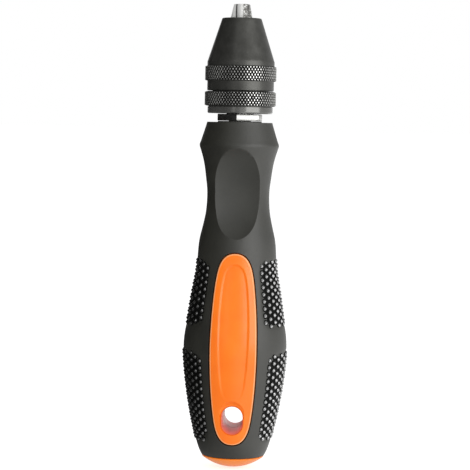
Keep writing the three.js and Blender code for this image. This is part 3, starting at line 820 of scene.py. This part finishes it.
def threaded_stud():
    """The stud with its thread's grooves between two plain ends."""
    foot = HEX_BOTTOM + HEX_HEIGHT / 2
    top = HEX_TOP + STUD_LENGTH
    profile = [(0, foot), (STUD_RADIUS, foot)]
    groove = HEX_TOP + STUD_PLAIN_END
    while groove < top - STUD_PLAIN_END:
        profile += [(STUD_RADIUS, groove), (STUD_RADIUS - STUD_GROOVE, groove + STUD_PITCH / 2)]
        groove += STUD_PITCH
    profile += [(STUD_RADIUS, groove), (STUD_RADIUS, top - STUD_CHAMFER)]
    profile += [(STUD_RADIUS - STUD_CHAMFER, top), (0, top)]
    return turned("stud", profile, INNER_STEPS)


def hex_spindle(bright):
    """The hex collar with its threaded stud above and its winged shank below."""
    select_none()
    bpy.ops.mesh.primitive_cylinder_add(vertices=6, radius=HEX_ACROSS_FLATS / sqrt(3), depth=HEX_HEIGHT,
                                        location=(0, 0, HEX_BOTTOM + HEX_HEIGHT / 2))
    collar = just_added("hex_spindle")
    collar.rotation_euler = (0, 0, HEX_TURN - pi / 2)
    dressed(tidy_mesh(collar), bright)
    round_edges(collar, HEX_EDGE, 3)
    combined(collar, threaded_stud(), "UNION")
    combined(collar, winged_shank(0, HANDLE_LENGTH + OVERRUN / 2), "UNION")
    return smooth(collar)


# Chuck

def plain_ring(radius, z):
    """A round ring with as many points as the knurl's rings have."""
    return [ring_point(radius, FULL_TURN * column / KNURL_COLUMNS, z) for column in range(KNURL_COLUMNS)]


def knurl_rings(low, high):
    """Rings of a knurled band: rows of staggered points between two plain edges."""
    valley = KNURL_RADIUS - KNURL_DEPTH
    edge = valley - KNURL_CHAMFER
    rows = steps_between(low + KNURL_CHAMFER, high - KNURL_CHAMFER, KNURL_PITCH / 2)
    rings = [plain_ring(edge, low)]
    for row, z in enumerate(rows):
        ring = []
        for column in range(KNURL_COLUMNS):
            point = KNURL_DEPTH / (1 - KNURL_FLAT_SHARE) * ((row + column) % 2)
            ring.append(ring_point(valley + point, FULL_TURN * column / KNURL_COLUMNS, z))
        rings.append(ring)
    rings.append(plain_ring(edge, high))
    return rings


def knurled(name, below, above, black):
    """A sleeve with a knurled band between two outlines, its points turned off flat."""
    rings = [plain_ring(radius, z) for radius, z in below]
    rings += knurl_rings(below[-1][1], above[0][1])
    rings += [plain_ring(radius, z) for radius, z in above]
    sleeve = dressed(tidy_mesh(skinned(name, rings + [rings[0]])), black)
    open_mesh(sleeve)
    bpy.ops.mesh.select_all(action="DESELECT")
    bpy.ops.mesh.select_mode(type="FACE")
    shell = bmesh.from_edit_mesh(sleeve.data)
    for face in shell.faces:
        radii = [hypot(vertex.co.x, vertex.co.y) for vertex in face.verts]
        heights = [vertex.co.z for vertex in face.verts]
        face.select = max(radii) > KNURL_RADIUS and max(heights) - min(heights) > MERGE
    bmesh.update_edit_mesh(sleeve.data)
    bpy.ops.mesh.quads_convert_to_tris(quad_method="SHORTEST_DIAGONAL")
    bpy.ops.mesh.select_mode(type="VERT")
    close_mesh()
    low = below[0][1] - OVERRUN
    high = NOSE_FACE + OVERRUN
    outline = [(0, low), (KNURL_RADIUS, low), (KNURL_RADIUS, high), (0, high)]
    combined(sleeve, turned("blank", outline, 2 * ROUND_STEPS), "INTERSECT")
    return smooth(sleeve, KNURL_SMOOTH_ANGLE)


def rear_knurled_sleeve(black):
    """The pressed-on sleeve with the rear lip and the lower knurled band."""
    bore = SEAT_RADIUS + JAW_SLIDE_GAP
    lip = BAND_RADIUS - LIP_INSET
    knee = CHAMFER_KNEE * LIP_CHAMFER
    below = [
        (bore, REAR_FACE), (lip - LIP_CHAMFER, REAR_FACE), (lip - knee, REAR_FACE + knee),
        (lip, REAR_FACE + LIP_CHAMFER), (lip, LIP_TOP - LIP_GROOVE),
        (lip - LIP_GROOVE, LIP_TOP - LIP_GROOVE / 2), (lip - LIP_GROOVE, LIP_TOP),
    ]
    above = [(TAIL_HOLLOW, REAR_TOP), (TAIL_HOLLOW, SEAT_TOP), (bore, SEAT_TOP)]
    return knurled("rear_knurled_sleeve", below, above, black)


def front_knurled_sleeve(black):
    """The turning sleeve: a skirt, the upper knurled band and the cone, hollow inside."""
    skirt_bore = BAND_RADIUS - BAND_WALL
    lead = BAND_RADIUS + CONE_LEAD_RISE
    cone_low = CONE_BOTTOM + 3 * CONE_BLEND
    cone_high = NOSE_FACE - 2 * NOSE_CHAMFER
    knee = CHAMFER_KNEE * NOSE_CHAMFER
    below = [
        (skirt_bore, SKIRT_BOTTOM), (BAND_RADIUS - SLEEVE_EDGE, SKIRT_BOTTOM),
        (BAND_RADIUS, SKIRT_BOTTOM + SLEEVE_EDGE), (BAND_RADIUS, SKIRT_TOP),
    ]
    above = [
        (lead, FRONT_KNURL_TOP), (lead, CONE_BOTTOM - CONE_BLEND),
        (lead - CONE_BLEND_DROP, CONE_BOTTOM + CONE_BLEND), (cone_radius(cone_low), cone_low),
        (cone_radius(cone_high), cone_high), (NOSE_RADIUS, NOSE_FACE - NOSE_CHAMFER),
        (NOSE_RADIUS - knee, NOSE_FACE - knee), (NOSE_RADIUS - NOSE_CHAMFER, NOSE_FACE),
        (NOSE_OPENING + SLEEVE_EDGE, NOSE_FACE), (NOSE_OPENING, NOSE_FACE - SLEEVE_EDGE),
        (jaw_outer(SHOULDER) + BODY_CONE_WALL + SLEEVE_GAP, SHOULDER), (SLEEVE_BORE, SHOULDER),
        (SLEEVE_BORE, SKIRT_TOP), (skirt_bore, SKIRT_TOP),
    ]
    return knurled("front_knurled_sleeve", below, above, black)


def cone_radius(z):
    """The outside of the nose's cone at a height."""
    low = BAND_RADIUS + CONE_LEAD_RISE
    return low + (NOSE_RADIUS - low) * (z - CONE_BOTTOM) / (NOSE_FACE - NOSE_CHAMFER - CONE_BOTTOM)


def jaw_rod(name, radius, low, high, azimuth):
    """A round rod along a jaw's sloping axis."""
    length = (high - low) / cos(JAW_LEAN)
    select_none()
    bpy.ops.mesh.primitive_cylinder_add(vertices=INNER_STEPS, radius=radius, depth=length,
                                        location=(0, 0, length / 2))
    rod = tidy_mesh(just_added(name))
    lean = Matrix.Rotation(-JAW_LEAN, 4, "Y")
    foot = Matrix.Translation((jaw_axis(low), 0, low))
    rod.data.transform(Matrix.Rotation(azimuth, 4, "Z") @ foot @ lean)
    return rod


def chuck_barrel(black):
    """The chuck's body inside the sleeves, with the jaws' bores."""
    bore_top = HEX_TOP + STUD_LENGTH + STUD_RADIUS * JAW_SLOPE
    stud_bore = STUD_RADIUS + STUD_GAP
    crest = jaw_outer(THRUST_FACE + REGISTER_HEIGHT) - THREAD_DEPTH - FIT_GAP
    register = COLLAR_RADIUS - WASHER_WIDTH - FIT_GAP
    barrel = turned("chuck_barrel", [
        (stud_bore, REAR_FACE), (SEAT_RADIUS, REAR_FACE), (SEAT_RADIUS, SEAT_TOP), (BODY_RADIUS, SEAT_TOP),
        (BODY_RADIUS, THRUST_FACE - COLLAR_THICKNESS), (COLLAR_RADIUS, THRUST_FACE - COLLAR_THICKNESS),
        (COLLAR_RADIUS, THRUST_FACE), (register, THRUST_FACE), (register, THRUST_FACE + REGISTER_HEIGHT),
        (crest, THRUST_FACE + REGISTER_HEIGHT),
        (jaw_outer(BODY_CONE_BOTTOM) - THREAD_DEPTH - FIT_GAP, BODY_CONE_BOTTOM),
        (jaw_outer(BODY_CONE_BOTTOM) + BODY_CONE_WALL, BODY_CONE_BOTTOM),
        (jaw_outer(BODY_FACE) + BODY_CONE_WALL, BODY_FACE),
        (BIT_BORE, BODY_FACE), (BIT_BORE, bore_top + stud_bore - BIT_BORE), (stud_bore, bore_top),
    ])
    dressed(barrel, black)
    for index in range(JAW_COUNT):
        radius = JAW_RADIUS + JAW_SLIDE_GAP
        bore = jaw_rod("jaw_bore", radius, BORE_END, NOSE_FACE + OVERRUN, jaw_azimuth(index))
        combined(barrel, bore, "DIFFERENCE")
    return smooth(barrel)


def jaw_teeth(azimuth):
    """The cutters of one jaw's teeth, which the split nut drives."""
    flank = (THREAD_ROOT_HALF - THREAD_CREST_HALF) / (THREAD_DEPTH + NUT_BORE_GAP)
    groove = THREAD_DEPTH + THREAD_FLOOR_GAP
    floor_half = THREAD_CREST_HALF + THREAD_PLAY
    mouth_half = floor_half + flank * (groove + OVERRUN)
    z = NUT_BOTTOM + THREAD_PITCH * ((azimuth - FIRST_JAW_AZIMUTH) / FULL_TURN - 1)
    last = NUT_TOP + JAW_DROP + THREAD_PITCH / 2
    sides = (-2 * JAW_RADIUS, 2 * JAW_RADIUS)
    turn = Matrix.Rotation(azimuth, 4, "Z")
    while z < last:
        outline = [
            (jaw_outer(z - floor_half) - groove, z - floor_half),
            (jaw_outer(z) + OVERRUN, z - mouth_half),
            (jaw_outer(z) + OVERRUN, z + mouth_half),
            (jaw_outer(z + floor_half) - groove, z + floor_half),
        ]
        rings = [[turn @ Vector((x, y, height)) for x, height in outline] for y in sides]
        yield capped("tooth_cutter", rings)
        z += THREAD_PITCH


def chuck_jaw(index, bright):
    """One jaw: a sloping rod with two flats that meet the other jaws and a flat tip."""
    azimuth = jaw_azimuth(index)
    jaw = jaw_rod(f"chuck_jaw_{index + 1}", JAW_RADIUS, JAW_TAIL, JAW_TIP + OVERRUN, azimuth)
    open_mesh(jaw)
    cuts = [((0, 0, JAW_TIP), Vector((0, 0, 1)))]
    for side in (-1, 1):
        flat = azimuth + side * (pi / JAW_COUNT + pi / 2)
        normal = Vector((cos(flat), sin(flat), 0))
        cuts.append((-normal * JAW_PARTING, normal))
    for place, normal in cuts:
        bpy.ops.mesh.select_all(action="SELECT")
        bpy.ops.mesh.bisect(plane_co=place, plane_no=normal, clear_outer=True, use_fill=True)
    close_mesh()
    dressed(tidy_mesh(jaw), bright)
    round_edges(jaw, JAW_TIP_EDGE, 3, JAW_TIP - MERGE)
    for cutter in jaw_teeth(azimuth):
        combined(jaw, cutter, "DIFFERENCE")
    return smooth(jaw)


# Finishes

class Paint:
    """A socket of a material, with shader sums written as Python expressions."""

    def __init__(self, tree, output=None):
        self.tree = tree
        self.output = output

    def node(self, kind, sockets=None, out=0, **settings):
        """Adds a node, sets it, fills its sockets and returns one of its outputs."""
        made = self.tree.nodes.new(kind)
        for key, value in settings.items():
            setattr(made, key, value)
        fill(made, sockets or {})
        return Paint(self.tree, made.outputs[out] if made.outputs else None)

    def sum(self, operation, first, second=0.0, clamp=False):
        """One step of shader arithmetic."""
        return self.node("ShaderNodeMath", {0: first, 1: second}, operation=operation, use_clamp=clamp)

    def __add__(self, other):
        return self.sum("ADD", self, other)

    def __radd__(self, other):
        return self.sum("ADD", other, self)

    def __sub__(self, other):
        return self.sum("SUBTRACT", self, other)

    def __rsub__(self, other):
        return self.sum("SUBTRACT", other, self)

    def __mul__(self, other):
        return self.sum("MULTIPLY", self, other)

    def __abs__(self):
        return self.sum("ABSOLUTE", self)

    def root(self):
        """The square root."""
        return self.sum("SQRT", self)

    def step(self, low, high):
        """0 below low, 1 above high, smooth between."""
        sockets = {"Value": self, "From Min": low, "From Max": high}
        return self.node("ShaderNodeMapRange", sockets, interpolation_type="SMOOTHSTEP")

    def mix(self, first, second):
        """A colour between two colours, by the second's share."""
        return self.node("ShaderNodeMix", {0: self, 6: first, 7: second}, 2, data_type="RGBA")

    def noise(self, scale, detail=2.0, roughness=0.5):
        """Even noise over these places, from 0 to 1."""
        sockets = {"Vector": self, "Scale": scale, "Detail": detail, "Roughness": roughness}
        return self.node("ShaderNodeTexNoise", sockets, "Fac")

    def bump(self, distance):
        """A surface normal from this height of 0 to 1, raised by the distance."""
        return self.node("ShaderNodeBump", {"Height": self, "Distance": distance, "Strength": 1.0})

    def split(self):
        """The three coordinates of these places."""
        return [self.node("ShaderNodeSeparateXYZ", {0: self}, axis) for axis in range(3)]


def fill(node, sockets):
    """Links a node's inputs to shader sums or sets them to plain values."""
    for key, value in sockets.items():
        if isinstance(value, Paint):
            value.tree.links.new(value.output, node.inputs[key])
        else:
            node.inputs[key].default_value = value


def new_finish(name):
    """A material and the place on the piece as a vector in millimetres."""
    material = bpy.data.materials.new(name)
    material.use_nodes = True
    paint = Paint(material.node_tree)
    objects = paint.node("ShaderNodeTexCoord", out="Object")
    place = paint.node("ShaderNodeVectorMath", {0: objects, "Scale": 1 / MM}, operation="SCALE")
    return material, place


def finished(material, colour, roughness, normal, **others):
    """Fills the material's surface with shader sums or plain values."""
    sockets = {"Base Color": colour, "Roughness": roughness, "Normal": normal, **others}
    fill(material.node_tree.nodes["Principled BSDF"], sockets)
    return material


def rubber_finish(name, dark, light, roughness, level, coat=0.0, index=1.5):
    """Soft black rubber: fine moulded grain, faint bloom and a handled sheen."""
    material, place = new_finish(name)
    bloom = place.noise(0.16, 3)
    grain = place.noise(9, 2)
    cloud = place.noise(0.9, 4, 0.6)
    colour = bloom.step(0.3, 0.75).mix(dark, light)
    normal = (grain * 0.8 + cloud * 0.4).bump(0.012 * MM)
    sheen = {"Coat Weight": coat, "Coat Roughness": COAT_ROUGHNESS, "Specular IOR Level": level}
    return finished(material, colour, roughness + cloud * 0.08 + grain * 0.05, normal, IOR=index, **sheen)


def orange_finish(name, dark, light):
    """Satin orange plastic with a faint grain, paler in the dome as painted light, with a painted pinkish
    sheen in the hanging hole and painted shade at the hole's mid-depth groove.
    """
    material, place = new_finish(name)
    flow = place.noise(0.12, 3)
    grain = place.noise(12, 2)
    x, y, z = place.split()
    # The dome, which faces the floor, is made paler as painted light
    dome = 1 - z.step(0.8 * RUBBER_BOTTOM / MM, RUBBER_BOTTOM / MM)
    above = z.sum("MAXIMUM", abs(z - HOLE_HEIGHT / MM) - (HOLE_TALL - HOLE_WIDTH) / 2 / MM)
    bore = HOLE_WIDTH / 2 / MM
    lining = 1 - (x * x + above * above).root().step(bore - 0.1, bore + 0.12)
    # A narrow band at the hole's mid-depth is darkened as painted shade in its groove
    parting = lining * (1 - abs(y).step(0.12, 0.35))
    colour = flow.step(*CLOUDY).mix(dark, light)
    colour = dome.mix(colour, DOME_PAINTED_LIGHT_ORANGE)
    # The hole's wall takes a painted pinkish sheen
    colour = (lining * 0.9).mix(colour, LINING_PAINTED_SHEEN)
    colour = (parting * 0.5).mix(colour, PARTING_SHADE_BROWN)
    return finished(material, colour, 0.24 + flow * 0.08 + grain * 0.05, grain.bump(0.004 * MM))


def pale_finish():
    """Natural, slightly milky plastic."""
    material, place = new_finish("pale_plastic")
    flow = place.noise(0.4, 3)
    return finished(material, flow.step(*CLOUDY).mix(*PALE_PLASTIC), 0.42 + flow * 0.1, flow.bump(0.01 * MM))


def black_steel_finish():
    """Black oxide over turned steel: marks of turning, dark grooves, points rubbed bright."""
    material, place = new_finish("black_steel")
    x, y, z = place.split()
    radius = (x * x + y * y).root()
    cloud = place.noise(0.35, 4, 0.6)
    turning = place.node("ShaderNodeCombineXYZ", {0: radius * 6.0, 1: 0.0, 2: z * 9.0}).noise(1.0, 3, 0.7)
    valley = (KNURL_RADIUS - KNURL_DEPTH) / MM
    flat = KNURL_RADIUS / MM
    tips = radius.step(flat - 0.08, flat - 0.02)
    grooves = radius.step(valley - 0.1, valley - 0.05) * (1 - radius.step(valley + 0.05, flat - 0.05))
    lip = 1 - z.step((LIP_TOP - 0.7 * LIP_CHAMFER) / MM, LIP_TOP / MM)
    worn = tips * place.noise(0.9, 3).step(0.2, 0.5)
    oxide = cloud.step(*CLOUDY).mix(*BLACK_OXIDE)
    oxide = grooves.mix(oxide, CREVICE_BLACK)
    colour = (worn * 0.9 + lip * 0.13).mix(oxide, WORN_STEEL)
    roughness = 0.28 + cloud * 0.1 + turning * 0.06 + grooves * 0.2 - worn * 0.12 - lip * 0.16
    return finished(material, colour, roughness, turning.bump(0.006 * MM), Metallic=0.65 + worn * 0.3)


def jaw_seams(x, y):
    """1 along the three seams where the closed jaws meet: the mask of the painted shade there."""
    seams = 0.0
    for index in range(JAW_COUNT):
        azimuth = jaw_azimuth(index + 0.5)
        off = abs(x * sin(azimuth) - y * cos(azimuth))
        along = x * cos(azimuth) + y * sin(azimuth)
        seams = (1 - off.step(0.2, 0.45)) * along.step(0, 0.2) + seams
    return seams


def bright_steel_finish():
    """Ground bright steel: fine grinding lines; the jaws paler and less metallic as a painted white sheen,
    stained and darkened on their lit right side partly as painted shade, and painted shade at their seams.
    """
    material, place = new_finish("bright_steel")
    x, y, z = place.split()
    lines = place.node("ShaderNodeCombineXYZ", {0: x * 1.5, 1: y * 1.5, 2: z * 14.0})
    grinding = lines.noise(1.0, 4, 0.7)
    cloud = place.noise(0.7, 4)
    jaws = z.step(NOSE_FACE / MM - 2, NOSE_FACE / MM)
    # The jaws' stain pattern is kept to their lit right side: partly real stain, partly painted shade
    stains_and_shade = place.noise(1.6, 5, 0.7).step(0.36, 0.54) * x.step(-0.1, 0.8) * jaws
    bare = cloud.step(*CLOUDY).mix(*GROUND_STEEL)
    # The jaws turn paler and less metallic, a painted white sheen
    bare = (jaws * 0.8).mix(bare, JAW_PAINTED_SHEEN_STEEL)
    colour = (stains_and_shade * 0.92).mix(bare, STAIN_AND_SHADE_BROWN)
    # Painted shade along the seams between the closed jaws
    colour = (jaw_seams(x, y) * jaws * 0.9).mix(colour, CREVICE_BLACK)
    collar = 1 - z.step(HEX_TOP / MM, HEX_TOP / MM + 1)
    roughness = 0.34 + grinding * 0.12 + cloud * 0.06 + stains_and_shade * 0.1 - collar * 0.04
    return finished(material, colour, roughness, grinding.bump(0.005 * MM), Metallic=1 - jaws * 0.65)


# Stage, lights and camera

def light_path(paint, kind):
    """1 for rays of one kind."""
    return paint.node("ShaderNodeLightPath", out=f"Is {kind} Ray")


def seen_directly(paint):
    """1 for what the camera sees, also through something clear."""
    return paint.sum("ADD", light_path(paint, "Camera"), light_path(paint, "Transmission"), clamp=True)


def white_floor():
    """A floor that shows white but keeps the shadow, and looks brighter on the right in reflections."""
    select_none()
    bpy.ops.mesh.primitive_plane_add(size=FLOOR_SIZE, location=(0, 0, -FLOOR_DROP))
    floor = just_added("floor")
    material = bpy.data.materials.new("floor_white")
    material.use_nodes = True
    material.node_tree.nodes.clear()
    paint = Paint(material.node_tree)
    aside = paint.node("ShaderNodeTexCoord", out="Object").split()[0]
    glow = seen_directly(paint) * 0.4 + 0.3
    sheen = aside.step(-30 * MM, 0) * 0.55 + aside.step(0, 18 * MM) * 0.8 + 0.05
    matt = paint.node("ShaderNodeBsdfDiffuse", {"Color": FLOOR_GREY})
    lit = paint.node("ShaderNodeEmission", {"Color": WHITE, "Strength": glow})
    plain = paint.node("ShaderNodeAddShader", {0: matt, 1: lit})
    mirrored = paint.node("ShaderNodeEmission", {"Color": WHITE, "Strength": sheen})
    both = paint.node("ShaderNodeMixShader", {0: light_path(paint, "Glossy"), 1: plain, 2: mirrored})
    paint.node("ShaderNodeOutputMaterial", {"Surface": both})
    dressed(floor, material)


def white_surround():
    """A white world, dimmer as a light than as the camera sees it."""
    world = bpy.data.worlds.new("surround")
    bpy.context.scene.world = world
    world.use_nodes = True
    world.node_tree.nodes.clear()
    sky = Paint(world.node_tree)
    strength = 0.5 + seen_directly(sky) * 0.5 + light_path(sky, "Glossy") * 0.12
    light = sky.node("ShaderNodeBackground", {"Color": WHITE, "Strength": strength})
    sky.node("ShaderNodeOutputWorld", {"Surface": light})


def dark_card():
    """A black card that only reflections see, so the tool's left side stays dark."""
    select_none()
    bpy.ops.mesh.primitive_plane_add(size=1, location=CARD_PLACE, rotation=(0, pi / 2, 0))
    card = just_added("dark_card")
    card.scale = CARD_SCALE
    tidy_mesh(card)
    material = bpy.data.materials.new("card_black")
    material.use_nodes = True
    sockets = {"Base Color": CARD_BLACK, "Roughness": 1, "Specular IOR Level": 0}
    fill(material.node_tree.nodes["Principled BSDF"], sockets)
    dressed(card, material)
    for rays in ("camera", "diffuse", "shadow", "transmission"):
        setattr(card, f"visible_{rays}", False)


def studio_lights():
    """The lamps, all aimed at the tool's middle."""
    for name, place, size, power, mirrored in LAMPS:
        light = bpy.data.lights.new(name, "AREA")
        light.shape = "RECTANGLE"
        light.size, light.size_y = size
        light.energy = power
        lamp = bpy.data.objects.new(name, light)
        bpy.context.scene.collection.objects.link(lamp)
        lamp.location = place
        lamp.rotation_euler = (Vector(LAMP_AIM) - Vector(place)).to_track_quat("-Z", "Y").to_euler()
        lamp.visible_glossy = mirrored


def photo_camera():
    """The camera at the photograph's angle: far off, a little above, with the tool's slight lean."""
    frame_pixels = 470
    pixels_per_mm = 3.48
    distance = 560 * MM
    eye_height = 99.9 * MM
    aim_height = 67.0 * MM
    axis_right_of_middle = 2.4
    lean = radians(1.22)
    turn = radians(2.4)
    sensor = 36
    camera = bpy.data.objects.new("photo_camera", bpy.data.cameras.new("photo_camera"))
    bpy.context.scene.collection.objects.link(camera)
    camera.data.sensor_width = sensor
    camera.data.lens = sensor * pixels_per_mm * distance / MM / frame_pixels
    camera.data.clip_start = 0.01
    camera.data.clip_end = 20
    away = Vector((sin(turn), -cos(turn), 0))
    right = Vector((cos(turn), sin(turn), 0))
    aside = -right * axis_right_of_middle / pixels_per_mm * MM
    camera.location = away * distance + aside + Vector((0, 0, eye_height))
    aim = aside + Vector((0, 0, aim_height))
    look = (aim - camera.location).normalized()
    level = look.to_track_quat("-Z", "Y").to_matrix().to_4x4()
    roll = Matrix.Rotation(lean, 4, "Z")
    camera.matrix_world = Matrix.Translation(camera.location) @ level @ roll
    bpy.context.scene.camera = camera


# Assembly

def place_piece(obj, body, slot, *nodes):
    """The finished piece rides on its body and stands for its CAD nodes."""
    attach(obj, body)
    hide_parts(*nodes)


rubber = rubber_finish("soft_rubber", *RUBBER, roughness=0.48, level=0.8)
# Painted shade for the panels' floor and the nubs' lower parts
painted_shade_rubber = rubber_finish("painted_shade_rubber", *PANEL_SHADE_RUBBER, roughness=0.6, level=0.1)
tip_rubber = rubber_finish("tip_rubber", *TIP_RUBBER, roughness=0.16, level=1.0, coat=1.0, index=2.2)
orange = orange_finish("orange_plastic", *ORANGE)
# Paler orange for the painted highlight on the pads' rims
highlight_rim_orange = orange_finish("painted_rim_highlight", *RIM_HIGHLIGHT_ORANGE)
pale = pale_finish()
black = black_steel_finish()
bright = bright_steel_finish()

place_piece(soft_grip(rubber, painted_shade_rubber, tip_rubber), "handle", "black_rubber", "grip_overmould")
place_piece(orange_moulding(orange, highlight_rim_orange), "handle", "orange_plastic", "orange_body")
place_piece(pale_core(pale), "handle", "pale_plastic", "handle_core")
place_piece(hex_spindle(bright), "handle", "bright_steel", "spindle")
place_piece(chuck_barrel(black), "handle", "black_steel", "chuck_body")
place_piece(rear_knurled_sleeve(black), "handle", "black_steel", "rear_sleeve")
place_piece(front_knurled_sleeve(black), "sleeve", "black_steel", "nose_sleeve")
for jaw_index in range(JAW_COUNT):
    node = f"jaw_{jaw_index + 1}"
    place_piece(chuck_jaw(jaw_index, bright), node, "bright_steel", node)
for node, finish in (("thrust_washer", bright), ("nut_half_1", black), ("nut_half_2", black)):
    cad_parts[node].material_slots[0].material = finish

white_floor()
white_surround()
dark_card()
studio_lights()
photo_camera()
bpy.context.scene.view_settings.view_transform = "Standard"
